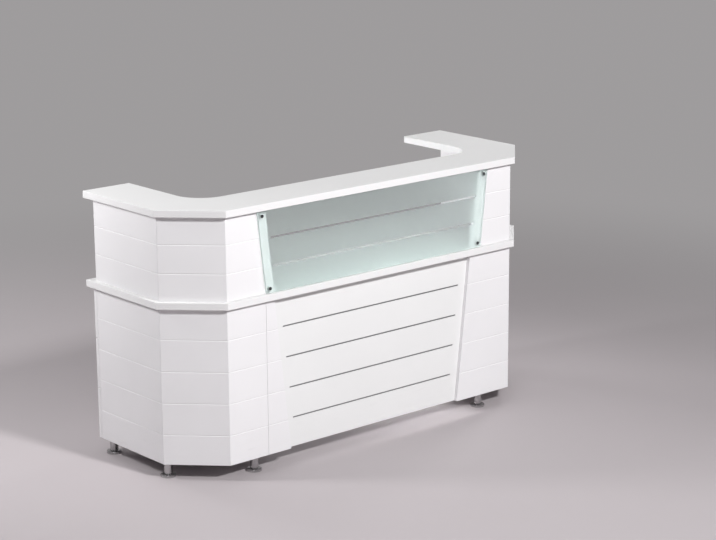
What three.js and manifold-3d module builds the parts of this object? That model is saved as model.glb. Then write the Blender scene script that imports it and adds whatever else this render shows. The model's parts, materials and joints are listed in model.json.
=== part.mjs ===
// Reception desk: a U-shaped counter with cut corners, a glazed front and two end cabinets.
// Millimetres, +Z up, +Y towards the staff side, origin on the floor under the middle of the desk.

import * as THREE from 'three';
import { mergeVertices } from 'three/addons/utils/BufferGeometryUtils.js';
import Module from 'manifold-3d';

const wasm = await Module();
wasm.setup();

// Overall sizes
const WIDTH = 2000;
const DEPTH = 700;
const LEG_HEIGHT = 65;
const LOWER_HEIGHT = 655;
const UPPER_HEIGHT = 345;
const BOARD = 30;
const PANEL = 18;

// Plan: how far the boards stand past the walls, and the cut corners
const OVERHANG = 20;
const BACK_OVERHANG = 24;
const CHAMFER = 192;
const COUNTER_WIDTH = 230;
const COUNTER_INNER_RADIUS = 125;
const BOARD_EASE = 2.5;
const EASE_SEGMENTS = 2;

// Walls: level V-grooves, mitred corners and the seam beside the left pilaster
const LOWER_GROOVES = { count: 4, first: 126, pitch: 133 };
const UPPER_GROOVES = { count: 2, first: 113, pitch: 118 };
const GROOVE_WIDTH = 5;
const GROOVE_DEPTH = 1.8;
const CORNER_GAP = 0.4;
const SEAM_GAP = 1;
const CABINET_LINE = 590;

// Sunk front panel, its slanted sides and its inlays
const RECESS_HALF_BOTTOM = 471;
const SLANT = 0.115;
const INLAY_MARGIN = 40;
const INLAY_HEIGHT = 6;
const INLAY_SLOT_DEPTH = 5;
const INLAY_THICKNESS = 3.5;
const INLAY_CLEARANCE = 0.25;

// Glass pane and standoffs
const GLASS_THICKNESS = 8;
const GLASS_OVERLAP = 46;
const GLASS_EDGE_GAP = 3;
const STANDOFF_LENGTH = 5;
const STANDOFF_RADIUS = 7;
const STANDOFF_CAP = 5;
const STANDOFF_FLAT_RADIUS = 5;
const STANDOFF_INSET = 26;
const STANDOFF_EDGE = 21;
const STUD_RADIUS = 4.5;
const STUD_CLEARANCE = 0.7;

// Legs: column, foot with an upright rim and a dome, and top plate
const LEG_RADIUS = 17;
const FOOT_RADIUS = 32;
const FOOT_EASE = 1;
const FOOT_RIM = 7;
const FOOT_SHOULDER = 11;
const FOOT_HEIGHT = 13;
const LEG_PLATE_RADIUS = 24;
const LEG_PLATE = 4;
const LEG_SIDE_INSET = 40;
const LEG_FRONT_INSET = 40;
const LEG_CORNER_SETBACK = 28;
const LEG_REAR_INSET = 26;
const LEG_CABINET_OFFSET = 46;

// Cabinet fronts
const FRONT_GAP = 3;
const FRONT_EDGE = 1;
const FRONT_REVEAL = 3;
const DRAWERS = 3;

// Drawer boxes and the runners in their grooved sides
const DRAWER_SIDE = 16;
const DRAWER_BOTTOM = 12;
const DRAWER_HEIGHT = 140;
const DRAWER_LIFT = 30;
const DRAWER_SIDE_GAP = 4;
const DRAWER_END_GAP = 12;
const RUNNER_HEIGHT = 17;
const RUNNER_BITE = 8;
const RUNNER_CLEARANCE = 0.5;
const RUNNER_LEVEL = 62;

// Bow handles
const HANDLE_LENGTH = 150;
const HANDLE_PROJECTION = 24;
const HANDLE_FOOT = 16;
const HANDLE_THICKNESS = 7;
const HANDLE_HEIGHT = 12;
const DOOR_HANDLE_EDGE = 45;

// Cupboard shelf and butt hinges
const SHELF_LEVEL = 330;
const SHELF_SETBACK = 20;
const HINGE_LENGTH = 72;
const HINGE_END_INSET = 110;
const HINGE_LEAF = 1.2;
const HINGE_LEAF_WIDTH = 16;
const KNUCKLE_RADIUS = 4;
const KNUCKLE_CLEARANCE = 0.4;
const PIN_RADIUS = 1.6;
const PIN_CLEARANCE = 0.4;

// Clearance of a square-cut board beside a slanted wall
const SLANT_CLEARANCE = 0.3;

// Distance at which two corners of a mesh count as one
const WELD_DISTANCE = 1e-4;

// Sides of a round piece
const ROUND_SEGMENTS = 24;
const KNUCKLE_SEGMENTS = 16;
const ARC_SEGMENTS = 10;

// Heights
const WORKTOP_BOTTOM = LEG_HEIGHT + LOWER_HEIGHT;
const WORKTOP_TOP = WORKTOP_BOTTOM + BOARD;
const COUNTER_BOTTOM = WORKTOP_TOP + UPPER_HEIGHT;

// Plan lines of the walls: outer faces, and the back edge of the side panels
const HALF = WIDTH / 2 - OVERHANG;
const FRONT = -DEPTH / 2 + OVERHANG;
const FRONTS_FACE = DEPTH / 2 - BACK_OVERHANG;
const FRONTS_BACK = FRONTS_FACE - PANEL;
const BACK = FRONTS_BACK - FRONT_GAP;
const MITRE = Math.tan(Math.PI / 8);

// Inside of an end cabinet, on the +X side
const CABINET_OUTER = HALF - PANEL;
const CABINET_INNER = CABINET_LINE + PANEL / 2;
const GABLE_FACE = CABINET_LINE - PANEL / 2;
const CORNER_END = FRONT + CHAMFER + PANEL * MITRE;

const X_AXIS = new THREE.Vector3(1, 0, 0);
const Y_AXIS = new THREE.Vector3(0, 1, 0);
const Z_AXIS = new THREE.Vector3(0, 0, 1);

const WHITE = { color: 0xf0f0f1, roughness: 0.35, metalness: 0 };
const PALE_BOARD = { color: 0xe6e6e8, roughness: 0.5, metalness: 0 };
const GLASS = { color: 0xcfe6df, roughness: 0.3, metalness: 0, transparent: true, opacity: 0.6 };
const CHROME = { color: 0xc9ccd0, roughness: 0.12, metalness: 1 };
const ALUMINIUM = { color: 0x9b9ea2, roughness: 0.4, metalness: 1 };
const STEEL = { color: 0xa8abb0, roughness: 0.35, metalness: 1 };

const desk = new THREE.Group();

function addPiece(name, geometry, finish, position = [0, 0, 0], turn = 0) {
  const mesh = new THREE.Mesh(geometry, new THREE.MeshStandardMaterial(finish));
  mesh.name = name;
  mesh.position.set(...position);
  mesh.rotation.z = turn;
  desk.add(mesh);
}

// A closed geometry as a solid that can be cut and joined, and a solid as a geometry

function solidOf(geometry) {
  const bare = geometry.clone();
  bare.deleteAttribute('normal');
  bare.deleteAttribute('uv');
  const merged = mergeVertices(bare, WELD_DISTANCE);
  return new wasm.Manifold(new wasm.Mesh({
    numProp: 3,
    vertProperties: merged.attributes.position.array,
    triVerts: merged.index.array,
  }));
}

function geometryOf(solid) {
  const mesh = solid.getMesh();
  const geometry = new THREE.BufferGeometry();
  geometry.setAttribute('position', new THREE.BufferAttribute(mesh.vertProperties, 3));
  geometry.setIndex(new THREE.BufferAttribute(mesh.triVerts, 1));
  geometry.computeVertexNormals();
  return geometry;
}

// Prisms: an outline of [a, b] points pushed along one axis

function outline(points) {
  return new THREE.Shape(points.map(([a, b]) => new THREE.Vector2(a, b)));
}

function push(shape, length) {
  return new THREE.ExtrudeGeometry(shape, {
    depth: length,
    bevelEnabled: false,
    curveSegments: ARC_SEGMENTS,
  });
}

// A plan outline in (x, y), pushed up
function planPrism(shape, bottom, height) {
  return push(shape, height).translate(0, 0, bottom);
}

// A front view outline in (x, z), pushed towards +Y
function frontPrism(shape, start, thickness) {
  const basis = new THREE.Matrix4().makeBasis(X_AXIS, Z_AXIS, Y_AXIS.clone().negate());
  return push(shape, thickness).applyMatrix4(basis).translate(0, start + thickness, 0);
}

// A section outline in (y, z), pushed towards +X
function sectionPrism(shape, start, length) {
  const basis = new THREE.Matrix4().makeBasis(Y_AXIS, Z_AXIS, X_AXIS);
  return push(shape, length).applyMatrix4(basis).translate(start, 0, 0);
}

function block(low, high) {
  const size = high.map((value, axis) => value - low[axis]);
  const middle = high.map((value, axis) => (value + low[axis]) / 2);
  return new THREE.BoxGeometry(...size).translate(...middle);
}

function cylinderZ(radius, bottom, height) {
  const geometry = new THREE.CylinderGeometry(radius, radius, height, KNUCKLE_SEGMENTS);
  return geometry.rotateX(Math.PI / 2).translate(0, 0, bottom + height / 2);
}

// Half width of the sunk panel and of the window above it, at a height above the floor
function slantedHalf(level) {
  return RECESS_HALF_BOTTOM + SLANT * (level - LEG_HEIGHT);
}

// Heights of a tier's grooves above its bottom
function grooveLevels({ count, first, pitch }) {
  return Array.from({ length: count }, (_, index) => first + index * pitch);
}

// Boards: plan outlines with eased edges

function easedBoard(shape) {
  const geometry = new THREE.ExtrudeGeometry(shape, {
    depth: BOARD - 2 * BOARD_EASE,
    bevelThickness: BOARD_EASE,
    bevelSize: BOARD_EASE,
    bevelOffset: -BOARD_EASE,
    bevelSegments: EASE_SEGMENTS,
    curveSegments: ARC_SEGMENTS,
  });
  return geometry.translate(0, 0, BOARD_EASE);
}

// The boards' outer edge from the back left corner round the front to the back right corner
function boardEdge() {
  const x = WIDTH / 2;
  const y = DEPTH / 2;
  const cut = CHAMFER + 2 * OVERHANG - OVERHANG * Math.SQRT2;
  return [[-x, y], [-x, -y + cut], [-x + cut, -y], [x - cut, -y], [x, -y + cut], [x, y]];
}

function addWorktop() {
  addPiece('worktop', easedBoard(outline(boardEdge())), WHITE, [0, 0, WORKTOP_BOTTOM]);
}

function addCounter() {
  const shape = outline(boardEdge());
  const x = WIDTH / 2 - COUNTER_WIDTH;
  const y = -DEPTH / 2 + COUNTER_WIDTH;
  const r = COUNTER_INNER_RADIUS;
  shape.lineTo(x, DEPTH / 2);
  shape.lineTo(x, y + r);
  shape.absarc(x - r, y + r, r, 0, -Math.PI / 2, true);
  shape.lineTo(-x + r, y);
  shape.absarc(-x + r, y + r, r, -Math.PI / 2, -Math.PI, true);
  shape.lineTo(-x, DEPTH / 2);
  addPiece('counter_top', easedBoard(shape), WHITE, [0, 0, COUNTER_BOTTOM]);
}

// Walls: a grooved panel whose outer face runs from one plan point to the next, with the desk's
// inside on its left. A mitred end is cut back towards the inside, a leaning end slants in height.

function groovedSection(height, grooves) {
  const points = [[0, 0]];
  for (const level of grooveLevels(grooves)) {
    points.push([0, level - GROOVE_WIDTH / 2]);
    points.push([GROOVE_DEPTH, level]);
    points.push([0, level + GROOVE_WIDTH / 2]);
  }
  points.push([0, height], [PANEL, height], [PANEL, 0]);
  return outline(points.reverse());
}

function wallGeometry(length, { height, grooves }, ends) {
  const { mitreStart = false, mitreEnd = false, leanStart = 0, leanEnd = 0 } = ends;
  const low = Math.min(0, leanStart);
  const high = Math.max(length, length + leanEnd);
  let wall = solidOf(sectionPrism(groovedSection(height, grooves), low, high - low));
  if (mitreStart || mitreEnd) {
    const start = mitreStart ? CORNER_GAP / 2 : low;
    const end = mitreEnd ? length - CORNER_GAP / 2 : high;
    const backStart = mitreStart ? start + PANEL * MITRE : low;
    const backEnd = mitreEnd ? end - PANEL * MITRE : high;
    const plan = outline([[start, 0], [end, 0], [backEnd, PANEL], [backStart, PANEL]]);
    wall = wall.intersect(solidOf(planPrism(plan, 0, height)));
  }
  if (leanStart || leanEnd) {
    const face = outline([[0, 0], [length, 0], [length + leanEnd, height], [leanStart, height]]);
    wall = wall.intersect(solidOf(frontPrism(face, 0, PANEL)));
  }
  return geometryOf(wall);
}

function addWall(name, from, to, tier, ends = {}) {
  const run = new THREE.Vector2(to[0] - from[0], to[1] - from[1]);
  const geometry = wallGeometry(run.length(), tier, ends);
  addPiece(name, geometry, WHITE, [from[0], from[1], tier.bottom], Math.atan2(run.y, run.x));
}

const LOWER = { name: 'lower', bottom: LEG_HEIGHT, height: LOWER_HEIGHT, grooves: LOWER_GROOVES };
const UPPER = { name: 'upper', bottom: WORKTOP_TOP, height: UPPER_HEIGHT, grooves: UPPER_GROOVES };

function addTier(tier) {
  const half = slantedHalf(tier.bottom);
  const lean = SLANT * tier.height;
  const backLeft = [-HALF, BACK];
  const sideLeft = [-HALF, FRONT + CHAMFER];
  const frontLeft = [-HALF + CHAMFER, FRONT];
  const frontRight = [HALF - CHAMFER, FRONT];
  const sideRight = [HALF, FRONT + CHAMFER];
  const backRight = [HALF, BACK];
  addWall(tier.name + '_side_left', backLeft, sideLeft, tier, { mitreEnd: true });
  addWall(tier.name + '_corner_left', sideLeft, frontLeft, tier, { mitreStart: true, mitreEnd: true });
  if (tier === LOWER) {
    const seamLeft = [-CABINET_LINE - SEAM_GAP / 2, FRONT];
    const seamRight = [-CABINET_LINE + SEAM_GAP / 2, FRONT];
    addWall('lower_pilaster_left', frontLeft, seamLeft, tier, { mitreStart: true });
    addWall('lower_cheek_left', seamRight, [-half, FRONT], tier, { leanEnd: -lean });
  } else {
    const ends = { mitreStart: true, leanEnd: -lean };
    addWall('upper_pilaster_left', frontLeft, [-half, FRONT], tier, ends);
  }
  const ends = { leanStart: lean, mitreEnd: true };
  addWall(tier.name + '_pilaster_right', [half, FRONT], frontRight, tier, ends);
  addWall(tier.name + '_corner_right', frontRight, sideRight, tier, { mitreStart: true, mitreEnd: true });
  addWall(tier.name + '_side_right', sideRight, backRight, tier, { mitreStart: true });
}

// Sunk front panel: slots at the groove levels, with an inlay strip in each

function inlayOutline(level, inset) {
  const bottom = level - INLAY_HEIGHT / 2 + inset;
  const top = level + INLAY_HEIGHT / 2 - inset;
  const low = slantedHalf(bottom) - INLAY_MARGIN - inset;
  const high = slantedHalf(top) - INLAY_MARGIN - inset;
  return outline([[-low, bottom], [low, bottom], [high, top], [-high, top]]);
}

function addFrontPanel() {
  const face = FRONT + PANEL;
  const low = [-GABLE_FACE, face, LEG_HEIGHT];
  const high = [GABLE_FACE, face + PANEL, WORKTOP_BOTTOM];
  let panel = solidOf(block(low, high));
  grooveLevels(LOWER_GROOVES).forEach((rise, index) => {
    const level = LEG_HEIGHT + rise;
    const slot = frontPrism(inlayOutline(level, 0), face - PANEL, PANEL + INLAY_SLOT_DEPTH);
    panel = panel.subtract(solidOf(slot));
    const start = face + INLAY_SLOT_DEPTH - INLAY_THICKNESS;
    const strip = frontPrism(inlayOutline(level, INLAY_CLEARANCE), start, INLAY_THICKNESS);
    addPiece('inlay_strip_' + (index + 1), strip, ALUMINIUM);
  });
  addPiece('front_panel', geometryOf(panel), WHITE);
}

// Glass pane in front of the window, held on four standoffs

const STANDOFF_LEVELS = { lower: WORKTOP_TOP + STANDOFF_EDGE, upper: COUNTER_BOTTOM - STANDOFF_EDGE };

function standoffPlaces() {
  const places = [];
  for (const [row, level] of Object.entries(STANDOFF_LEVELS)) {
    for (const [column, sign] of [['left', -1], ['right', 1]]) {
      const x = sign * (slantedHalf(level) + STANDOFF_INSET);
      places.push({ name: row + '_' + column, x, level });
    }
  }
  return places;
}

function addGlass() {
  const bottom = WORKTOP_TOP + GLASS_EDGE_GAP;
  const top = COUNTER_BOTTOM - GLASS_EDGE_GAP;
  const low = slantedHalf(bottom) + GLASS_OVERLAP;
  const high = slantedHalf(top) + GLASS_OVERLAP;
  const shape = outline([[-low, bottom], [low, bottom], [high, top], [-high, top]]);
  for (const place of standoffPlaces()) {
    const hole = new THREE.Path();
    hole.absarc(place.x, place.level, STUD_RADIUS + STUD_CLEARANCE, 0, 2 * Math.PI, true);
    shape.holes.push(hole);
  }
  const start = FRONT - STANDOFF_LENGTH - GLASS_THICKNESS;
  addPiece('glass_pane', frontPrism(shape, start, GLASS_THICKNESS), GLASS);
}

// A turned standoff on the wall face: sleeve, waist through the pane and domed cap
function addStandoffs() {
  const cap = STANDOFF_LENGTH + GLASS_THICKNESS;
  const profile = [
    [0, -cap - STANDOFF_CAP],
    [STANDOFF_FLAT_RADIUS, -cap - STANDOFF_CAP],
    [STANDOFF_RADIUS, -cap - STANDOFF_CAP / 2],
    [STANDOFF_RADIUS, -cap],
    [STUD_RADIUS, -cap],
    [STUD_RADIUS, -STANDOFF_LENGTH],
    [STANDOFF_RADIUS, -STANDOFF_LENGTH],
    [STANDOFF_RADIUS, 0],
    [0, 0],
  ];
  const points = profile.map(([radius, along]) => new THREE.Vector2(radius, along));
  for (const place of standoffPlaces()) {
    const geometry = new THREE.LatheGeometry(points, ROUND_SEGMENTS);
    addPiece('standoff_' + place.name, geometry, STEEL, [place.x, FRONT, place.level]);
  }
}

// Legs: a turned column with a top plate and a wide domed foot

function legGeometry() {
  const profile = [
    [0, 0],
    [FOOT_RADIUS - FOOT_EASE, 0],
    [FOOT_RADIUS, FOOT_EASE],
    [FOOT_RADIUS, FOOT_RIM],
    [(FOOT_RADIUS + LEG_RADIUS) / 2, FOOT_SHOULDER],
    [LEG_RADIUS, FOOT_HEIGHT],
    [LEG_RADIUS, LEG_HEIGHT - LEG_PLATE],
    [LEG_PLATE_RADIUS, LEG_HEIGHT - LEG_PLATE],
    [LEG_PLATE_RADIUS, LEG_HEIGHT],
    [0, LEG_HEIGHT],
  ];
  const points = profile.map(([radius, along]) => new THREE.Vector2(radius, along));
  return new THREE.LatheGeometry(points, ROUND_SEGMENTS).rotateX(Math.PI / 2);
}

function addLegs() {
  const places = {
    front: [CABINET_LINE + LEG_CABINET_OFFSET, FRONT + LEG_FRONT_INSET],
    corner: [HALF - LEG_SIDE_INSET, FRONT + CHAMFER + LEG_CORNER_SETBACK],
    rear: [HALF - LEG_SIDE_INSET, BACK - LEG_REAR_INSET],
    inner: [CABINET_LINE + LEG_CABINET_OFFSET, BACK - LEG_REAR_INSET],
  };
  for (const [row, [x, y]] of Object.entries(places)) {
    addPiece('leg_' + row + '_left', legGeometry(), CHROME, [-x, y, 0]);
    addPiece('leg_' + row + '_right', legGeometry(), CHROME, [x, y, 0]);
  }
}

// End cabinets: a base board that follows the cut corner, and an inner gable on it

function addCarcass() {
  const corner = SLANT_CLEARANCE * Math.SQRT2;
  const cut = [CABINET_OUTER, CORNER_END + corner];
  const start = [HALF - CHAMFER - PANEL * MITRE - corner, FRONT + PANEL];
  for (const [side, sign] of [['left', -1], ['right', 1]]) {
    const plan = [[GABLE_FACE, FRONT + PANEL], start, cut, [CABINET_OUTER, BACK], [GABLE_FACE, BACK]];
    const points = plan.map(([x, y]) => [sign * x, y]);
    addPiece('base_' + side, planPrism(outline(points), LEG_HEIGHT, PANEL), PALE_BOARD);
    const x = [sign * GABLE_FACE, sign * CABINET_INNER].sort((a, b) => a - b);
    const low = [x[0], FRONT + PANEL, LEG_HEIGHT + PANEL];
    const high = [x[1], BACK, WORKTOP_BOTTOM];
    addPiece('gable_' + side, block(low, high), PALE_BOARD);
  }
}

// Bow handle lying along X, with its feet on the plane y = 0

function arc(shape, half, rise, fromLeft) {
  const radius = (half * half + rise * rise) / (2 * rise);
  const sweep = Math.asin(half / radius);
  const left = Math.PI / 2 + sweep;
  const right = Math.PI / 2 - sweep;
  shape.absarc(0, rise - radius, radius, fromLeft ? left : right, fromLeft ? right : left, fromLeft);
}

function handleGeometry() {
  const half = HANDLE_LENGTH / 2;
  const shape = new THREE.Shape();
  shape.moveTo(-half, 0);
  shape.lineTo(-half + HANDLE_FOOT, 0);
  arc(shape, half - HANDLE_FOOT, HANDLE_PROJECTION - HANDLE_THICKNESS, true);
  shape.lineTo(half, 0);
  arc(shape, half, HANDLE_PROJECTION, false);
  return planPrism(shape, -HANDLE_HEIGHT / 2, HANDLE_HEIGHT);
}

// Drawers in the left cabinet: a grooved box, its front, its handle and two runners each

const FRONTS_TOP = WORKTOP_BOTTOM - FRONT_REVEAL;
const FRONT_OUTER = HALF - FRONT_EDGE;
const FRONT_INNER = GABLE_FACE + FRONT_EDGE;
const FRONT_MIDDLE = (FRONT_OUTER + FRONT_INNER) / 2;

function drawerBox(low, high) {
  const groove = {
    bottom: low[2] + RUNNER_LEVEL - RUNNER_HEIGHT / 2 - RUNNER_CLEARANCE,
    top: low[2] + RUNNER_LEVEL + RUNNER_HEIGHT / 2,
    depth: RUNNER_BITE + RUNNER_CLEARANCE,
  };
  const inside = block(
    [low[0] + DRAWER_SIDE, low[1] + DRAWER_SIDE, low[2] + DRAWER_BOTTOM],
    [high[0] - DRAWER_SIDE, high[1] - DRAWER_SIDE, high[2] + DRAWER_BOTTOM],
  );
  const before = low[1] - DRAWER_SIDE;
  const leftGroove = block(
    [low[0] - DRAWER_SIDE, before, groove.bottom],
    [low[0] + groove.depth, high[1] - DRAWER_SIDE, groove.top],
  );
  const rightGroove = block(
    [high[0] - groove.depth, before, groove.bottom],
    [high[0] + DRAWER_SIDE, high[1] - DRAWER_SIDE, groove.top],
  );
  let box = solidOf(block(low, high)).subtract(solidOf(inside));
  box = box.subtract(solidOf(leftGroove)).subtract(solidOf(rightGroove));
  return geometryOf(box);
}

function addDrawer(index) {
  const pitch = (FRONTS_TOP - LEG_HEIGHT + FRONT_REVEAL) / DRAWERS;
  const top = FRONTS_TOP - (index - 1) * pitch;
  const bottom = top - pitch + FRONT_REVEAL;
  const face = block([-FRONT_OUTER, FRONTS_BACK, bottom], [-FRONT_INNER, FRONTS_FACE, top]);
  addPiece('drawer_front_' + index, face, WHITE);
  const middle = [-FRONT_MIDDLE, FRONTS_FACE, (bottom + top) / 2];
  addPiece('drawer_handle_' + index, handleGeometry(), STEEL, middle);

  const left = -CABINET_OUTER + DRAWER_SIDE_GAP;
  const right = -CABINET_INNER - DRAWER_SIDE_GAP;
  const low = [left, CORNER_END + DRAWER_END_GAP, bottom + DRAWER_LIFT];
  const high = [right, FRONTS_BACK, low[2] + DRAWER_HEIGHT];
  addPiece('drawer_box_' + index, drawerBox(low, high), PALE_BOARD);

  const railTop = low[2] + RUNNER_LEVEL + RUNNER_HEIGHT / 2 - RUNNER_CLEARANCE;
  const railBottom = low[2] + RUNNER_LEVEL - RUNNER_HEIGHT / 2;
  const railEnd = BACK - DRAWER_SIDE - FRONT_GAP;
  const bite = DRAWER_SIDE_GAP + RUNNER_BITE;
  const outer = block([-CABINET_OUTER, low[1], railBottom], [-CABINET_OUTER + bite, railEnd, railTop]);
  const inner = block([-CABINET_INNER - bite, low[1], railBottom], [-CABINET_INNER, railEnd, railTop]);
  addPiece('drawer_runner_' + index + '_outer', outer, STEEL);
  addPiece('drawer_runner_' + index + '_inner', inner, STEEL);
}

// Cupboard in the right cabinet: a shelf, and a door on two butt hinges at the outer back edge

function addCupboard() {
  const face = block([FRONT_INNER, FRONTS_BACK, LEG_HEIGHT], [FRONT_OUTER, FRONTS_FACE, FRONTS_TOP]);
  addPiece('cupboard_door', face, WHITE);
  const handle = handleGeometry().rotateY(Math.PI / 2);
  const middle = (LEG_HEIGHT + FRONTS_TOP) / 2;
  addPiece('cupboard_handle', handle, STEEL, [FRONT_INNER + DOOR_HANDLE_EDGE, FRONTS_FACE, middle]);

  const low = [CABINET_INNER, CORNER_END + SLANT_CLEARANCE, LEG_HEIGHT + SHELF_LEVEL];
  const high = [CABINET_OUTER, BACK - SHELF_SETBACK, low[2] + PANEL];
  addPiece('cupboard_shelf', block(low, high), PALE_BOARD);
}

// Knuckles along the pin: the outer two carry the frame leaf, the middle one the door leaf
function addHinge(name, middle) {
  const axis = [HALF + KNUCKLE_RADIUS + SLANT_CLEARANCE, (BACK + FRONTS_BACK) / 2, middle];
  const third = HINGE_LENGTH / 3;
  const bottom = -HINGE_LENGTH / 2;
  const edge = HALF - HINGE_LEAF_WIDTH - axis[0];
  const frameY = BACK - axis[1];
  const doorY = FRONTS_BACK - axis[1];

  const frameLeaf = block([edge, frameY, bottom], [0, frameY + HINGE_LEAF, -bottom]);
  const cutHeight = third + 2 * KNUCKLE_CLEARANCE;
  const reach = KNUCKLE_RADIUS + KNUCKLE_CLEARANCE;
  const middleCut = cylinderZ(reach, -cutHeight / 2, cutHeight);
  const bore = cylinderZ(PIN_RADIUS + PIN_CLEARANCE, bottom - third, HINGE_LENGTH + 2 * third);
  const frame = solidOf(frameLeaf)
    .add(solidOf(cylinderZ(KNUCKLE_RADIUS, bottom, HINGE_LENGTH)))
    .subtract(solidOf(middleCut))
    .subtract(solidOf(bore));
  addPiece(name + '_frame_leaf', geometryOf(frame), STEEL, axis);

  const doorLeaf = block([edge, doorY - HINGE_LEAF, bottom], [0, doorY, -bottom]);
  const endReach = third + KNUCKLE_CLEARANCE;
  const lowCut = cylinderZ(reach, bottom - KNUCKLE_CLEARANCE, endReach);
  const highCut = cylinderZ(reach, third / 2, endReach);
  const door = solidOf(doorLeaf)
    .subtract(solidOf(lowCut))
    .subtract(solidOf(highCut))
    .add(solidOf(cylinderZ(KNUCKLE_RADIUS, -third / 2, third)))
    .add(solidOf(cylinderZ(PIN_RADIUS, bottom, HINGE_LENGTH)));
  addPiece(name + '_door_leaf', geometryOf(door), STEEL, axis);
}

addCounter();
addWorktop();
addTier(LOWER);
addTier(UPPER);
addFrontPanel();
addGlass();
addStandoffs();
addLegs();
addCarcass();
for (let index = 1; index <= DRAWERS; index += 1) {
  addDrawer(index);
}
addCupboard();
addHinge('hinge_upper', FRONTS_TOP - HINGE_END_INSET);
addHinge('hinge_lower', LEG_HEIGHT + HINGE_END_INSET);

export default desk;
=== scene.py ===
# Reception desk: the finish of every piece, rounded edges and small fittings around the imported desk.
# Metres, +Z up, +Y towards the staff side, origin on the floor under the middle of the desk.

import json
import math

import bmesh
import bpy
from mathutils import Matrix, Vector

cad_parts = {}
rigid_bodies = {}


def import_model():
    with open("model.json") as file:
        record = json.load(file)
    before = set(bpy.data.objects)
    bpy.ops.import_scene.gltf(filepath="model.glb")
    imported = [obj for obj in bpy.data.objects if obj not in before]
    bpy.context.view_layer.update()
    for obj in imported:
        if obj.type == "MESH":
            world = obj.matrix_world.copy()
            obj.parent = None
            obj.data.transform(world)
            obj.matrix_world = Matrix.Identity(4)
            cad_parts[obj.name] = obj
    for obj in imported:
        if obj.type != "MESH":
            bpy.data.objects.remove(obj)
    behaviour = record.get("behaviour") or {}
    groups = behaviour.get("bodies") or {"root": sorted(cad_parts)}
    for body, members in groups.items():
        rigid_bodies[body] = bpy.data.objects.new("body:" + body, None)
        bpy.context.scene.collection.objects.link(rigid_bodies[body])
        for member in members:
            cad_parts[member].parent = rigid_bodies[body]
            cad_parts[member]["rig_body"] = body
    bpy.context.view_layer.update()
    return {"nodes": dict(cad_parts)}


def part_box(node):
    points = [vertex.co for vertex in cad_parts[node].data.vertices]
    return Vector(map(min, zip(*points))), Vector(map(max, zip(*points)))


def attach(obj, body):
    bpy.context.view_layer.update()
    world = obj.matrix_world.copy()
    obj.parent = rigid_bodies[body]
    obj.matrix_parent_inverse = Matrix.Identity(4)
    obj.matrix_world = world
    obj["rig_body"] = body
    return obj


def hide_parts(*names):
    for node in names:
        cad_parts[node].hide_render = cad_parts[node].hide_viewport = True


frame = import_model()

# Camera at the photograph's viewing angle: degrees, metres, and millimetres for lens and sensor
CAMERA_PLACE = Vector((-5.5239, -6.6295, 2.8857))
CAMERA_YAW = 40.724
CAMERA_PITCH = 14.322
CAMERA_ROLL = -0.412
CAMERA_LENS = 103.5
CAMERA_SENSOR = 36.0
CAMERA_REACH = 200.0

# Light: each lamp's place, the point that it is aimed at, its size in metres, its power in watts
# and its beam angle in degrees. Only the dim, soft lamps show in reflections.
FRONT_POINT = Vector((0.0, -0.33, 0.6))
LEFT_POINT = Vector((-0.98, 0.1, 0.7))
BACK_POINT = Vector((0.4, 0.33, 0.6))
RIGHT_POINT = Vector((0.98, 0.1, 0.7))
INNER_POINT = Vector((0.9, 0.05, 1.0))
KNEEHOLE_POINT = Vector((0.45, -0.15, 0.0))
OPEN_BEAM = 180.0
LAMPS = {
    "key": (Vector((-0.1, -4.9, 3.95)), FRONT_POINT, 0.5, 296.0, OPEN_BEAM),
    "front_left_fill": (Vector((-2.6, -2.0, 3.2)), LEFT_POINT, 0.8, 10.5, OPEN_BEAM),
    "left_lamp": (Vector((-2.3, 1.0, 1.9)), LEFT_POINT, 0.4, 30.6, OPEN_BEAM),
    "right_fill": (Vector((3.2, 0.8, 2.3)), RIGHT_POINT, 0.6, 2.2, 50.0),
    "overhead": (Vector((0.9, 0.2, 3.0)), FRONT_POINT, 1.0, 4.3, OPEN_BEAM),
    "back_fill": (Vector((-1.0, 4.2, 2.8)), BACK_POINT, 1.5, 70.0, OPEN_BEAM),
    "inner_fill": (Vector((-1.5, 1.7, 1.2)), INNER_POINT, 0.3, 0.5, 24.0),
    "kneehole_fill": (Vector((0.6, 2.4, 2.2)), KNEEHOLE_POINT, 0.5, 1.15, 20.0),
}
REFLECTED_LAMPS = ("front_left_fill", "overhead")
SKY_COLOUR = (0.97, 0.98, 1.0)
SKY_STRENGTH = 0.12
BACKDROP_COLOUR = (0.345, 0.333, 0.337)

# Floor, which turns into the backdrop between two distances from the middle of the desk
FLOOR_COLOUR = (0.49, 0.45, 0.465)
FAR_FLOOR_START = 1.3
FAR_FLOOR_END = 5.0
FLOOR_REACH = 60.0

# Pieces that repeat
SIDES = ("left", "right")
DRAWERS = (1, 2, 3)
INLAYS = (1, 2, 3, 4)
HINGES = ("upper", "lower")

# Glass pane: its slanted window's half width at the foot, the foot's height and the slant, then the
# clear stripes' heights above the worktop. A face that turns less than the limit to the front is rim.
WINDOW_HALF = 0.471
WINDOW_FOOT = 0.065
WINDOW_SLANT = 0.115
STRIPE_LEVELS = (0.113, 0.231)
STRIPE_HEIGHT = 0.009
STRIPE_MARGIN = 0.004
MASK_EDGE = 0.0003
RIM_LIMIT = 0.5

# Glass: how it bends light, its own colours, and what it lets through onto the walls and the window
GLASS_IOR = 1.5
FROST_COLOUR = (0.90, 0.995, 0.975)
CLEAR_COLOUR = (0.96, 0.99, 0.985)
LIGHT_ON_WALLS = (0.31, 0.27, 0.27)
LIGHT_IN_WINDOW = (0.215, 0.225, 0.223)

# Scuffs on lacquer: most at the height of the walls' bottom edge, and none above the second height
SCUFF_FOOT = 0.065
SCUFF_TOP = 0.265

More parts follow.
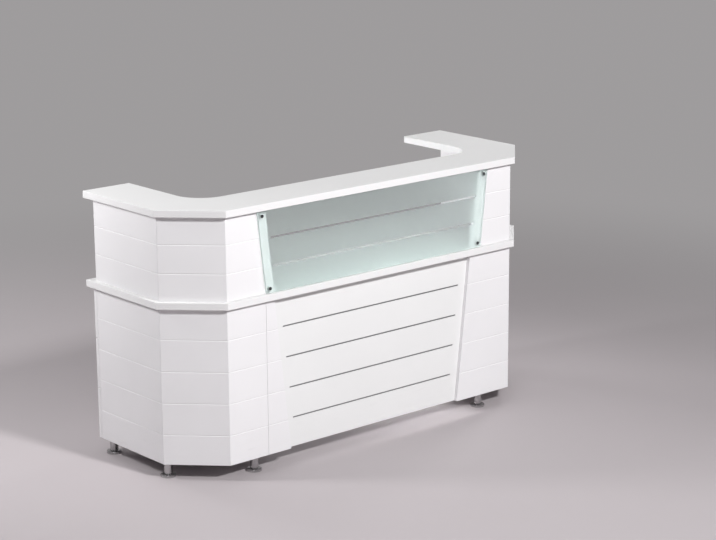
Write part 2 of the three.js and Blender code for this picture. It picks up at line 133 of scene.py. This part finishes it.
# Rounding of edges
BOARD_EASE = 0.0025
LACQUER_ROUND = 0.0007
CARCASS_ROUND = 0.0005
GLASS_ROUND = 0.001
STRIP_ROUND = 0.0005
HANDLE_ROUND = 0.0024
RUNNER_ROUND = 0.0015
HINGE_ROUND = 0.00025
TURNED_ROUND = 0.0005
ROUND_ABOVE = math.radians(30)
ROUND_STEPS = 2
FINE_ROUND_STEPS = 4

# Clean meshes: corners closer than this are one, faces within this angle are one
MERGE_DISTANCE = 1e-5
FLAT_ANGLE = math.radians(0.5)

# Turned pieces: steps all the way round, and steps up a dome
TURN_STEPS = 64
DOME_STEPS = 8

# Legs
COLUMN_RADIUS = 0.017
LEG_PLATE_RADIUS = 0.024
LEG_PLATE = 0.004
FOOT_RIM = 0.007
FOOT_HEIGHT = 0.013
NECK_RADIUS = 0.0155
NECK_HEIGHT = 0.0015

# Standoffs
SLEEVE_LENGTH = 0.005
STUD_RADIUS = 0.0045
GLASS_THICKNESS = 0.008
CAP_RIM = 0.002

# Small fittings: cover caps on cam fittings, shelf pins and screws
CAM_CAP_RADIUS = 0.0085
CAM_CAP_HEIGHT = 0.0012
CAM_EDGE = 0.034
CAM_END = 0.060
PIN_RADIUS = 0.0025
PIN_LENGTH = 0.009
PIN_INSET = 0.050
HANDLE_SCREW_SPAN = 0.134
HANDLE_SCREW_RADIUS = 0.0042
HANDLE_SCREW_HEIGHT = 0.0024
HINGE_SCREW_RADIUS = 0.0028
HINGE_SCREW_HEIGHT = 0.0002
HINGE_SCREW_PITCH = 0.024
HINGE_LEAF = 0.0012
HINGE_LEAF_WIDTH = 0.016
DRAWER_SIDE = 0.016

# A screw head's dome and cross slot, as shares of the head's radius and height
HEAD_DOME = ((1.0, 0.3), (0.88, 0.72), (0.66, 1.0))
SLOT_WIDTH = 0.13
SLOT_REACH = 0.55
SLOT_FLOOR_WIDTH = 0.10
SLOT_FLOOR_REACH = 0.45
SLOT_FLOOR_HEIGHT = 0.3
SMALLEST_SINE = 1e-6

# Sockets of a colour mix
MIX_FACTOR = 0
MIX_FIRST = 6
MIX_SECOND = 7
MIX_RESULT = 2


# Materials

class NodeTree:
    """A tree of shader nodes, built node by node."""

    def __init__(self, tree):
        self.tree = tree

    def add(self, kind, inputs=None, **settings):
        node = self.tree.nodes.new(kind)
        for key, value in settings.items():
            setattr(node, key, value)
        for key, value in (inputs or {}).items():
            self.feed(node.inputs[key], value)
        return node

    def feed(self, socket, value):
        if isinstance(value, bpy.types.NodeSocket):
            self.tree.links.new(value, socket)
        else:
            socket.default_value = value

    def calculate(self, operation, first, second=0.0):
        return self.add("ShaderNodeMath", {0: first, 1: second}, operation=operation).outputs[0]

    def mix_surface(self, output, factor, first, second):
        """Sends a mix of two shaders to the output."""
        mix = self.add("ShaderNodeMixShader", {0: factor, 1: first, 2: second})
        self.feed(self.tree.nodes[output].inputs["Surface"], mix.outputs[0])

    def backdrop_rays(self):
        """1 for rays that see the plain backdrop: the camera's, and those from metal and glass."""
        path = self.add("ShaderNodeLightPath").outputs
        seen = path["Is Camera Ray"]
        for kind in ("Is Glossy Ray", "Is Transmission Ray"):
            seen = self.calculate("MAXIMUM", seen, path[kind])
        return seen


class Finish(NodeTree):
    """A material around one Principled shader, in the frame's own metres."""

    def __init__(self, name):
        self.material = bpy.data.materials.new(name)
        self.material.use_nodes = True
        super().__init__(self.material.node_tree)
        self.shader = self.tree.nodes["Principled BSDF"]
        self.place = self.add("ShaderNodeTexCoord").outputs["Object"]

    def shade(self, sockets):
        for key, value in sockets.items():
            self.feed(self.shader.inputs[key], value)

    def noise(self, scale, detail=2.0, stretch=None):
        place = self.place
        if stretch:
            place = self.add("ShaderNodeMapping", {"Vector": place, "Scale": stretch}).outputs[0]
        inputs = {"Vector": place, "Scale": scale, "Detail": detail}
        return self.add("ShaderNodeTexNoise", inputs).outputs["Fac"]

    def spread(self, value, low=0.0, high=1.0, start=0.3, end=0.7):
        """Goes smoothly from low to high as the value goes from start to end."""
        inputs = {"Value": value, "From Min": start, "From Max": end, "To Min": low, "To Max": high}
        return self.add("ShaderNodeMapRange", inputs, interpolation_type="SMOOTHSTEP").outputs["Result"]

    def blend(self, factor, first, second):
        inputs = {MIX_FACTOR: factor, MIX_FIRST: first, MIX_SECOND: second}
        return self.add("ShaderNodeMix", inputs, data_type="RGBA").outputs[MIX_RESULT]

    def axis(self, name, vector=None):
        return self.add("ShaderNodeSeparateXYZ", {0: vector or self.place}).outputs[name]

    def bump(self, height, strength, distance):
        inputs = {"Height": height, "Strength": strength, "Distance": distance}
        return self.add("ShaderNodeBump", inputs).outputs["Normal"]

    def sides(self, axis):
        """1 on faces that run along the axis, 0 on faces square to it."""
        normal = self.add("ShaderNodeNewGeometry").outputs["Normal"]
        along = self.calculate("ABSOLUTE", self.axis(axis, normal))
        return self.spread(along, low=1.0, high=0.0, start=0.3, end=0.8)

    def edges(self, radius):
        """1 along edges that are tighter than the radius, 0 on open faces."""
        rounded = self.add("ShaderNodeBevel", {"Radius": radius}, samples=4).outputs[0]
        normal = self.add("ShaderNodeNewGeometry").outputs["Normal"]
        pair = self.add("ShaderNodeVectorMath", {0: rounded, 1: normal}, operation="DOT_PRODUCT")
        return self.spread(pair.outputs["Value"], low=1.0, high=0.0, start=0.75, end=0.99)


def tint(colour, factor=1.0):
    return (*[channel * factor for channel in colour], 1.0)


def lacquer(name, colour, roughness, lit_edges=None):
    """White satin lacquer: faint clouding, orange peel, rubbed edges, and scuffs near the floor.
    Where a second colour is given, the upright faces take it, lighter than the tops: painted light on
    the board's edges, painted shade on its tops."""
    finish = Finish(name)
    clouds = finish.spread(finish.noise(scale=2.2, detail=3.0))
    tone = finish.blend(clouds, tint(colour, factor=0.975), tint(colour))
    # Painted light: upright faces get a lighter white than the tops
    if lit_edges:
        tone = finish.blend(finish.sides("Z"), tone, tint(lit_edges))
    patches = finish.spread(finish.noise(scale=45.0, detail=4.0), low=0.1, high=0.6)
    rubbed = finish.calculate("MULTIPLY", finish.edges(radius=0.0016), patches)
    tone = finish.blend(rubbed, tone, tint(colour, factor=0.86))
    near_floor = finish.spread(finish.axis("Z"), low=1.0, high=0.0, start=SCUFF_FOOT, end=SCUFF_TOP)
    streaks = finish.noise(scale=11.0, detail=6.0, stretch=(1.0, 1.0, 5.0))
    marks = finish.spread(streaks, high=0.18, start=0.60, end=0.74)
    scuffs = finish.calculate("MULTIPLY", near_floor, marks)
    tone = finish.blend(scuffs, tone, tint(colour, factor=0.80))
    wipes = finish.noise(scale=7.0, detail=4.0)
    finish.shade({
        "Base Color": tone,
        "Roughness": finish.spread(wipes, low=roughness - 0.05, high=roughness + 0.07),
        "Specular IOR Level": 0.3,
        "Coat Weight": 0.05,
        "Coat Roughness": 0.30,
        "Normal": finish.bump(finish.noise(scale=420.0), strength=0.05, distance=0.0003),
    })
    return finish.material


def melamine(name, colour):
    """Pearl-textured melamine board with faint clouding and rubbed edges."""
    finish = Finish(name)
    clouds = finish.spread(finish.noise(scale=5.0, detail=3.0))
    tone = finish.blend(clouds, tint(colour, factor=0.96), tint(colour))
    rubbed = finish.calculate("MULTIPLY", finish.edges(radius=0.0014), 0.4)
    tone = finish.blend(rubbed, tone, tint(colour, factor=0.78))
    cells = finish.add("ShaderNodeTexVoronoi", {"Vector": finish.place, "Scale": 620.0})
    finish.shade({
        "Base Color": tone,
        "Roughness": finish.spread(finish.noise(scale=28.0, detail=3.0), low=0.42, high=0.56),
        "Normal": finish.bump(cells.outputs["Distance"], strength=0.22, distance=0.0003),
    })
    return finish.material


def brushed(name, colour, roughness, grain):
    """Brushed metal whose lines run along the axis that grain stretches."""
    finish = Finish(name)
    lines = finish.noise(scale=900.0, detail=3.0, stretch=grain)
    tone = finish.blend(finish.spread(lines), tint(colour, factor=0.86), tint(colour))
    worn = finish.calculate("MULTIPLY", finish.edges(radius=0.001), 0.6)
    finish.shade({
        "Base Color": finish.blend(worn, tone, tint(colour, factor=1.25)),
        "Metallic": 1.0,
        "Roughness": finish.spread(lines, low=roughness - 0.06, high=roughness + 0.08),
        "Normal": finish.bump(lines, strength=0.12, distance=0.0002),
    })
    return finish.material


def polished(name, colour, roughness):
    """Plated metal with faint smears and handling marks."""
    finish = Finish(name)
    smears = finish.noise(scale=32.0, detail=5.0, stretch=(1.0, 1.0, 0.4))
    finish.shade({
        "Base Color": finish.blend(finish.spread(smears), tint(colour, factor=0.93), tint(colour)),
        "Metallic": 1.0,
        "Roughness": finish.spread(smears, low=roughness * 0.7, high=roughness * 1.6),
        "Normal": finish.bump(finish.noise(scale=140.0), strength=0.03, distance=0.0003),
    })
    return finish.material


def plastic(name, colour, roughness):
    """Moulded plastic with a fine spark-eroded grain."""
    finish = Finish(name)
    grain = finish.noise(scale=1500.0)
    clouds = finish.spread(finish.noise(scale=40.0, detail=3.0))
    finish.shade({
        "Base Color": finish.blend(clouds, tint(colour, factor=0.95), tint(colour)),
        "Roughness": finish.spread(grain, low=roughness - 0.06, high=roughness + 0.06),
        "Normal": finish.bump(grain, strength=0.2, distance=0.0002),
    })
    return finish.material


def window_mask(finish):
    """1 on the part of the pane that spans the slanted window, 0 where it laps over the walls."""
    rise = finish.calculate("SUBTRACT", finish.axis("Z"), WINDOW_FOOT)
    widening = finish.calculate("MULTIPLY", rise, WINDOW_SLANT)
    half = finish.calculate("ADD", widening, WINDOW_HALF - STRIPE_MARGIN)
    aside = finish.calculate("SUBTRACT", finish.calculate("ABSOLUTE", finish.axis("X")), half)
    return finish.spread(aside, low=1.0, high=0.0, start=-MASK_EDGE, end=MASK_EDGE)


def stripe_mask(finish, window):
    """1 on the two clear stripes of the pane, 0 on the frosted glass."""
    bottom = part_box("upper_side_left")[0].z
    rise = finish.calculate("SUBTRACT", finish.axis("Z"), bottom)
    half = STRIPE_HEIGHT / 2
    mask = 0.0
    for level in STRIPE_LEVELS:
        away = finish.calculate("ABSOLUTE", finish.calculate("SUBTRACT", rise, level))
        stripe = finish.spread(away, low=1.0, high=0.0, start=half - MASK_EDGE, end=half + MASK_EDGE)
        mask = finish.calculate("MAXIMUM", mask, stripe)
    return finish.calculate("MULTIPLY", mask, window)


def frosted_glass(name):
    """Sandblasted pale green glass with clear stripes."""
    finish = Finish(name)
    window = window_mask(finish)
    clear = stripe_mask(finish, window)
    frosted = finish.calculate("SUBTRACT", 1.0, clear)
    frost = finish.spread(finish.noise(scale=24.0, detail=3.0), low=0.36, high=0.44)
    grain = finish.calculate("MULTIPLY", finish.noise(scale=1300.0), frosted)
    finish.shade({
        "Base Color": finish.blend(clear, tint(FROST_COLOUR), tint(CLEAR_COLOUR)),
        "Roughness": finish.calculate("ADD", finish.calculate("MULTIPLY", frost, frosted), 0.03),
        "IOR": GLASS_IOR,
        "Transmission Weight": 1.0,
        "Normal": finish.bump(grain, strength=0.10, distance=0.0002),
    })
    shadow = finish.add("ShaderNodeLightPath").outputs["Is Shadow Ray"]
    let_in = finish.blend(window, tint(LIGHT_ON_WALLS), tint(LIGHT_IN_WINDOW))
    through = finish.add("ShaderNodeBsdfTransparent", {"Color": let_in}).outputs[0]
    finish.mix_surface("Material Output", shadow, finish.shader.outputs[0], through)
    return finish.material


def ground_glass(name, colour):
    """The finely ground rim of a glass pane."""
    finish = Finish(name)
    grain = finish.noise(scale=900.0, detail=3.0)
    finish.shade({
        "Base Color": finish.blend(finish.spread(grain), tint(colour, factor=0.94), tint(colour)),
        "Roughness": finish.spread(grain, low=0.36, high=0.48),
        "IOR": GLASS_IOR,
        "Transmission Weight": 0.2,
    })
    return finish.material


def floor_paint(name):
    """Plain pale floor with faint clouding, which goes over into an even backdrop away from the desk."""
    finish = Finish(name)
    clouds = finish.spread(finish.noise(scale=0.7, detail=3.0))
    finish.shade({
        "Base Color": finish.blend(clouds, tint(FLOOR_COLOUR, factor=0.98), tint(FLOOR_COLOUR)),
        "Roughness": finish.spread(finish.noise(scale=3.0, detail=4.0), low=0.60, high=0.66),
        "Specular IOR Level": 0.2,
    })
    away = finish.add("ShaderNodeVectorMath", {0: finish.place}, operation="LENGTH").outputs["Value"]
    far = finish.spread(away, start=FAR_FLOOR_START, end=FAR_FLOOR_END)
    factor = finish.calculate("MULTIPLY", far, finish.backdrop_rays())
    backdrop = finish.add("ShaderNodeEmission", {"Color": tint(BACKDROP_COLOUR)}).outputs[0]
    finish.mix_surface("Material Output", factor, finish.shader.outputs[0], backdrop)
    return finish.material


ALONG_X = (0.01, 1.0, 1.0)
ALONG_Z = (1.0, 1.0, 0.01)
# Boards: tops take the darker white, upright edges the lighter one, as painted shade on the tops and
# painted light on the edges
BOARD_COLOUR = (0.775, 0.77, 0.77)
LIT_EDGE_COLOUR = (0.85, 0.845, 0.85)
NICKEL_COLOUR = (0.56, 0.56, 0.57)
NICKEL_ROUGHNESS = 0.27

WHITE_BOARD = lacquer("white_board_lacquer", BOARD_COLOUR, roughness=0.56, lit_edges=LIT_EDGE_COLOUR)
WHITE_PANEL = lacquer("white_panel_lacquer", (0.88, 0.87, 0.885), roughness=0.46)
FRONT_WHITE = lacquer("front_panel_lacquer", (0.86, 0.86, 0.86), roughness=0.46)
CARCASS = melamine("carcass_melamine", (0.78, 0.78, 0.785))
INLAY = brushed("inlay_aluminium", (0.40, 0.41, 0.42), roughness=0.34, grain=ALONG_X)
GLASS = frosted_glass("frosted_glass")
GLASS_RIM = ground_glass("glass_rim", (0.84, 0.94, 0.92))
STANDOFF = polished("standoff_dark_steel", (0.13, 0.135, 0.14), roughness=0.28)
CHROME = polished("leg_chrome", (0.52, 0.515, 0.52), roughness=0.11)
DRAWER_NICKEL = brushed("drawer_handle_nickel", NICKEL_COLOUR, NICKEL_ROUGHNESS, grain=ALONG_X)
DOOR_NICKEL = brushed("door_handle_nickel", NICKEL_COLOUR, NICKEL_ROUGHNESS, grain=ALONG_Z)
RUNNER = plastic("runner_plastic", (0.52, 0.52, 0.53), roughness=0.46)
CAP_WHITE = plastic("cover_cap_plastic", (0.80, 0.80, 0.79), roughness=0.40)
HINGE = polished("hinge_nickel", (0.58, 0.58, 0.59), roughness=0.24)
ZINC = polished("screw_zinc", (0.62, 0.63, 0.64), roughness=0.26)


# Meshes

def body_of(node):
    return frame["nodes"][node]["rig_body"]


def clean_mesh(node):
    """The node's own mesh with shared corners merged and flat faces joined."""
    solid = bmesh.new()
    solid.from_mesh(frame["nodes"][node].data)
    bmesh.ops.remove_doubles(solid, verts=solid.verts, dist=MERGE_DISTANCE)
    bmesh.ops.dissolve_limit(solid, angle_limit=FLAT_ANGLE, verts=solid.verts, edges=solid.edges)
    return solid


def add_piece(name, solid, body, material, stands_for=()):
    """A piece of the solid's mesh on a body, in place of the nodes that it stands for."""
    bmesh.ops.recalc_face_normals(solid, faces=solid.faces)
    mesh = bpy.data.meshes.new(name)
    solid.to_mesh(mesh)
    solid.free()
    mesh.shade_smooth()
    mesh.materials.append(material)
    piece = bpy.data.objects.new(name, mesh)
    bpy.context.scene.collection.objects.link(piece)
    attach(piece, body)
    if stands_for:
        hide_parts(*stands_for)
    return piece


def round_edges(piece, width, steps=ROUND_STEPS):
    """Rounds the piece's edges and keeps its flat faces flat in the shading."""
    bevel = piece.modifiers.new("rounded_edges", "BEVEL")
    bevel.width = width
    bevel.segments = steps
    bevel.limit_method = "ANGLE"
    bevel.angle_limit = ROUND_ABOVE
    normals = piece.modifiers.new("flat_faces", "WEIGHTED_NORMAL")
    normals.keep_sharp = True
    return piece


def dress(node, material, width, steps=ROUND_STEPS):
    """A copy of the node with rounded edges and its finish, in the node's own place."""
    piece = add_piece(node + "_finished", clean_mesh(node), body_of(node), material, [node])
    return round_edges(piece, width, steps)


def plan_outline(node):
    """The widest outline of a board with eased edges, as plan points in order."""
    solid = clean_mesh(node)
    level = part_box(node)[0].z + BOARD_EASE
    ring = [e for e in solid.edges if all(abs(v.co.z - level) < MERGE_DISTANCE for v in e.verts)]
    joined = {}
    for edge in ring:
        first, second = edge.verts
        joined.setdefault(first, []).append(second)
        joined.setdefault(second, []).append(first)
    start = ring[0].verts[0]
    last, here = start, joined[start][0]
    points = [start.co.copy()]
    while here is not start:
        points.append(here.co.copy())
        ahead = [v for v in joined[here] if v is not last]
        last, here = here, ahead[0]
    solid.free()
    return points


def turned(solid, profile, place, direction):
    """Adds a turned solid: (radius, along) rings from one end of its axis to the other.
    A radius may be a function of the angle. A radius of 0 is a point on the axis."""
    turn = direction.to_track_quat("Z", "Y").to_matrix()
    rings = []
    for radius, along in profile:
        ring = []
        for step in range(TURN_STEPS):
            angle = 2 * math.pi * step / TURN_STEPS
            reach = radius(angle) if callable(radius) else radius
            spot = Vector((reach * math.cos(angle), reach * math.sin(angle), along))
            ring.append(solid.verts.new(place + turn @ spot))
            if reach == 0:
                break
        rings.append(ring)
    for one, other in zip(rings, rings[1:]):
        for step in range(TURN_STEPS):
            after = (step + 1) % TURN_STEPS
            corners = [one[step % len(one)], one[after % len(one)]]
            corners += [other[after % len(other)], other[step % len(other)]]
            solid.faces.new(dict.fromkeys(corners))


def dome(radius, base, rise, middle=0):
    """Rings of an elliptical dome from the radius in to the middle radius, 0 for a point."""
    rings = []
    for step in range(1, DOME_STEPS):
        angle = math.pi / 2 * step / DOME_STEPS
        rings.append((middle + (radius - middle) * math.cos(angle), base + rise * math.sin(angle)))
    return rings + [(middle, base + rise)]


def cross_recess(width, reach):
    """The outline of a cross slot, as a radius for each angle."""
    def radius(angle):
        aside = abs((angle + math.pi / 4) % (math.pi / 2) - math.pi / 4)
        return min(reach / math.cos(aside), width / max(math.sin(aside), SMALLEST_SINE))
    return radius


# Pieces that are built afresh within their node's size

def add_board(node):
    """The counter or the worktop, pushed up from its outline, with evenly rounded edges."""
    low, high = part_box(node)
    outline = plan_outline(node)
    solid = bmesh.new()
    bottom = [solid.verts.new((p.x, p.y, low.z)) for p in outline]
    top = [solid.verts.new((p.x, p.y, high.z)) for p in outline]
    solid.faces.new(bottom)
    solid.faces.new(top)
    for index in range(len(outline)):
        after = (index + 1) % len(outline)
        solid.faces.new((bottom[index], bottom[after], top[after], top[index]))
    piece = add_piece(node + "_finished", solid, body_of(node), WHITE_BOARD, [node])
    round_edges(piece, BOARD_EASE, FINE_ROUND_STEPS)


def add_leg(node):
    """A leg: a domed foot, a neck, a column and a screw plate."""
    low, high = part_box(node)
    place = Vector(((low.x + high.x) / 2, (low.y + high.y) / 2, low.z))
    foot = (high.x - low.x) / 2
    height = high.z - low.z
    shoulder = FOOT_HEIGHT + NECK_HEIGHT
    profile = [(0, 0), (foot, 0), (foot, FOOT_RIM)]
    profile += dome(foot, FOOT_RIM, FOOT_HEIGHT - FOOT_RIM, COLUMN_RADIUS)
    profile += [(NECK_RADIUS, FOOT_HEIGHT), (NECK_RADIUS, shoulder), (COLUMN_RADIUS, shoulder)]
    profile += [(COLUMN_RADIUS, height - LEG_PLATE), (LEG_PLATE_RADIUS, height - LEG_PLATE)]
    profile += [(LEG_PLATE_RADIUS, height), (0, height)]
    solid = bmesh.new()
    turned(solid, profile, place, Vector((0, 0, 1)))
    piece = add_piece(node + "_finished", solid, body_of(node), CHROME, [node])
    round_edges(piece, TURNED_ROUND)


def add_standoff(node):
    """A standoff: a sleeve behind the pane, a stud through it and a domed cap before it."""
    low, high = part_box(node)
    place = Vector(((low.x + high.x) / 2, high.y, (low.z + high.z) / 2))
    radius = (high.x - low.x) / 2
    length = high.y - low.y
    cap = SLEEVE_LENGTH + GLASS_THICKNESS
    profile = [(0, 0), (radius, 0), (radius, SLEEVE_LENGTH), (STUD_RADIUS, SLEEVE_LENGTH)]
    profile += [(STUD_RADIUS, cap), (radius, cap), (radius, cap + CAP_RIM)]
    profile += dome(radius, cap + CAP_RIM, length - cap - CAP_RIM)
    solid = bmesh.new()
    turned(solid, profile, place, Vector((0, -1, 0)))
    piece = add_piece(node + "_finished", solid, body_of(node), STANDOFF, [node])
    round_edges(piece, TURNED_ROUND)


def add_pane():
    """The pane, with its narrow sides ground."""
    piece = dress("glass_pane", GLASS, GLASS_ROUND)
    piece.data.materials.append(GLASS_RIM)
    for face in piece.data.polygons:
        face.material_index = int(abs(face.normal.y) < RIM_LIMIT)


# Small fittings

def add_caps(node, places, direction):
    """White cover caps over cam fittings, on a panel's inner face."""
    half = CAM_CAP_HEIGHT / 2
    profile = [(0, 0), (CAM_CAP_RADIUS, 0), (CAM_CAP_RADIUS, half)]
    profile += dome(CAM_CAP_RADIUS, half, half)
    solid = bmesh.new()
    for place in places:
        turned(solid, profile, Vector(place), direction)
    add_piece(node + "_cover_caps", solid, body_of(node), CAP_WHITE)


def add_cover_caps():
    for side, inward in zip(SIDES, (1, -1)):
        low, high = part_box("upper_side_" + side)
        face = high.x if inward > 0 else low.x
        levels = (low.z + CAM_EDGE, high.z - CAM_EDGE)
        ends = (low.y + CAM_END, high.y - CAM_END)
        places = [(face, y, z) for y in ends for z in levels]
        add_caps("upper_side_" + side, places, Vector((inward, 0, 0)))
        low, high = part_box("upper_pilaster_" + side)
        places = [((low.x + high.x) / 2, high.y, z) for z in levels]
        add_caps("upper_pilaster_" + side, places, Vector((0, 1, 0)))
    low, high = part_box("front_panel")
    levels = (low.z + CAM_END, (low.z + high.z) / 2, high.z - CAM_END)
    places = [(x, high.y, z) for x in (low.x + CAM_EDGE, high.x - CAM_EDGE) for z in levels]
    add_caps("front_panel", places, Vector((0, 1, 0)))


def add_shelf_pins():
    low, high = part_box("cupboard_shelf")
    profile = [(0, 0), (PIN_RADIUS, 0), (PIN_RADIUS, PIN_LENGTH), (0, PIN_LENGTH)]
    solid = bmesh.new()
    for y in (low.y + PIN_INSET, high.y - PIN_INSET):
        for x, inward in ((low.x, 1), (high.x, -1)):
            place = Vector((x, y, low.z - PIN_RADIUS))
            turned(solid, profile, place, Vector((inward, 0, 0)))
    piece = add_piece("cupboard_shelf_pins", solid, body_of("cupboard_shelf"), ZINC)
    round_edges(piece, TURNED_ROUND)


def add_screws(name, body, places, direction, radius, height):
    """Round-headed screws with a cross slot."""
    slot = cross_recess(radius * SLOT_WIDTH, radius * SLOT_REACH)
    floor = cross_recess(radius * SLOT_FLOOR_WIDTH, radius * SLOT_FLOOR_REACH)
    profile = [(0, 0), (radius, 0)]
    profile += [(radius * across, height * up) for across, up in HEAD_DOME]
    profile += [(slot, height), (floor, height * SLOT_FLOOR_HEIGHT), (0, height * SLOT_FLOOR_HEIGHT)]
    solid = bmesh.new()
    for place in places:
        turned(solid, profile, Vector(place), direction)
    add_piece(name, solid, body, ZINC)


def add_handle_screws():
    half = HANDLE_SCREW_SPAN / 2
    inward = Vector((0, -1, 0))
    for index in DRAWERS:
        low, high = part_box(f"drawer_handle_{index}")
        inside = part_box(f"drawer_box_{index}")[1].y - DRAWER_SIDE
        middle = (low + high) / 2
        places = [(middle.x + shift, inside, middle.z) for shift in (-half, half)]
        name = f"drawer_handle_{index}_screws"
        add_screws(name, f"drawer_{index}", places, inward, HANDLE_SCREW_RADIUS, HANDLE_SCREW_HEIGHT)
    low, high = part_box("cupboard_handle")
    middle = (low + high) / 2
    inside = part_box("cupboard_door")[0].y
    places = [(middle.x, inside, middle.z + shift) for shift in (-half, half)]
    name = "cupboard_handle_screws"
    add_screws(name, "door", places, inward, HANDLE_SCREW_RADIUS, HANDLE_SCREW_HEIGHT)


def add_hinge_screws():
    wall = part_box("lower_side_right")[1]
    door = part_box("cupboard_door")[0]
    x = wall.x - HINGE_LEAF_WIDTH / 2
    leaves = {"frame_leaf": (wall.y + HINGE_LEAF, 1), "door_leaf": (door.y - HINGE_LEAF, -1)}
    for row in HINGES:
        for leaf, (face, outward) in leaves.items():
            node = f"hinge_{row}_{leaf}"
            low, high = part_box(node)
            middle = (low.z + high.z) / 2
            levels = [middle + step * HINGE_SCREW_PITCH for step in (-1, 0, 1)]
            places = [(x, face, z) for z in levels]
            direction = Vector((0, outward, 0))
            name = node + "_screws"
            add_screws(name, body_of(node), places, direction, HINGE_SCREW_RADIUS, HINGE_SCREW_HEIGHT)


# The desk

def dress_desk():
    for node in ("counter_top", "worktop"):
        add_board(node)
    for side in SIDES:
        for tier in ("lower", "upper"):
            for wall in ("side", "corner", "pilaster"):
                dress(f"{tier}_{wall}_{side}", WHITE_PANEL, LACQUER_ROUND)
        dress("base_" + side, CARCASS, CARCASS_ROUND)
        dress("gable_" + side, CARCASS, CARCASS_ROUND)
        for row in ("front", "corner", "rear", "inner"):
            add_leg(f"leg_{row}_{side}")
        for row in ("upper", "lower"):
            add_standoff(f"standoff_{row}_{side}")
    dress("lower_cheek_left", WHITE_PANEL, LACQUER_ROUND)
    dress("front_panel", FRONT_WHITE, LACQUER_ROUND)
    for index in INLAYS:
        dress(f"inlay_strip_{index}", INLAY, STRIP_ROUND)
    add_pane()


def dress_cabinets():
    for index in DRAWERS:
        dress(f"drawer_box_{index}", CARCASS, CARCASS_ROUND)
        dress(f"drawer_front_{index}", WHITE_PANEL, LACQUER_ROUND)
        dress(f"drawer_handle_{index}", DRAWER_NICKEL, HANDLE_ROUND, FINE_ROUND_STEPS)
        for side in ("outer", "inner"):
            dress(f"drawer_runner_{index}_{side}", RUNNER, RUNNER_ROUND)
    dress("cupboard_door", WHITE_PANEL, LACQUER_ROUND)
    dress("cupboard_handle", DOOR_NICKEL, HANDLE_ROUND, FINE_ROUND_STEPS)
    dress("cupboard_shelf", CARCASS, CARCASS_ROUND)
    for row in HINGES:
        for leaf in ("frame_leaf", "door_leaf"):
            dress(f"hinge_{row}_{leaf}", HINGE, HINGE_ROUND)


# Floor, light and camera

def add_floor():
    reach = FLOOR_REACH
    mesh = bpy.data.meshes.new("floor")
    corners = [(-reach, -reach, 0), (reach, -reach, 0), (reach, reach, 0), (-reach, reach, 0)]
    mesh.from_pydata(corners, [], [(0, 1, 2, 3)])
    mesh.materials.append(floor_paint("pale_floor"))
    floor = bpy.data.objects.new("floor", mesh)
    bpy.context.scene.collection.objects.link(floor)


def add_lamps():
    for name, (place, target, size, power, beam) in LAMPS.items():
        data = bpy.data.lights.new(name, "AREA")
        data.energy = power
        data.size = size
        data.spread = math.radians(beam)
        lamp = bpy.data.objects.new(name, data)
        lamp.location = place
        lamp.rotation_euler = (target - place).to_track_quat("-Z", "Y").to_euler()
        lamp.visible_camera = False
        lamp.visible_glossy = name in REFLECTED_LAMPS
        bpy.context.scene.collection.objects.link(lamp)


def set_world():
    """Even light from all round; cameras, metal and glass see the plain backdrop instead."""
    world = bpy.data.worlds.new("studio")
    bpy.context.scene.world = world
    world.use_nodes = True
    sky = NodeTree(world.node_tree)
    light = sky.tree.nodes["Background"]
    light.inputs["Color"].default_value = tint(SKY_COLOUR)
    light.inputs["Strength"].default_value = SKY_STRENGTH
    backdrop = sky.add("ShaderNodeBackground", {"Color": tint(BACKDROP_COLOUR)})
    sky.mix_surface("World Output", sky.backdrop_rays(), light.outputs[0], backdrop.outputs[0])


def add_camera():
    yaw, pitch, roll = (math.radians(a) for a in (CAMERA_YAW, CAMERA_PITCH, CAMERA_ROLL))
    level = Vector((math.sin(yaw), math.cos(yaw), 0))
    forward = level * math.cos(pitch) - Vector((0, 0, math.sin(pitch)))
    right = Vector((math.cos(yaw), -math.sin(yaw), 0))
    up = right.cross(forward)
    rolled_right = right * math.cos(roll) + up * math.sin(roll)
    rolled_up = up * math.cos(roll) - right * math.sin(roll)
    data = bpy.data.cameras.new("photo_view")
    data.lens = CAMERA_LENS
    data.sensor_width = CAMERA_SENSOR
    data.clip_end = CAMERA_REACH
    camera = bpy.data.objects.new("photo_view", data)
    bpy.context.scene.collection.objects.link(camera)
    turn = Matrix((rolled_right, rolled_up, -forward)).transposed()
    camera.matrix_world = Matrix.Translation(CAMERA_PLACE) @ turn.to_4x4()
    bpy.context.scene.camera = camera


add_camera()
dress_desk()
dress_cabinets()
add_cover_caps()
add_shelf_pins()
add_handle_screws()
add_hinge_screws()
add_floor()
add_lamps()
set_world()
bpy.context.scene.view_settings.view_transform = "Standard"
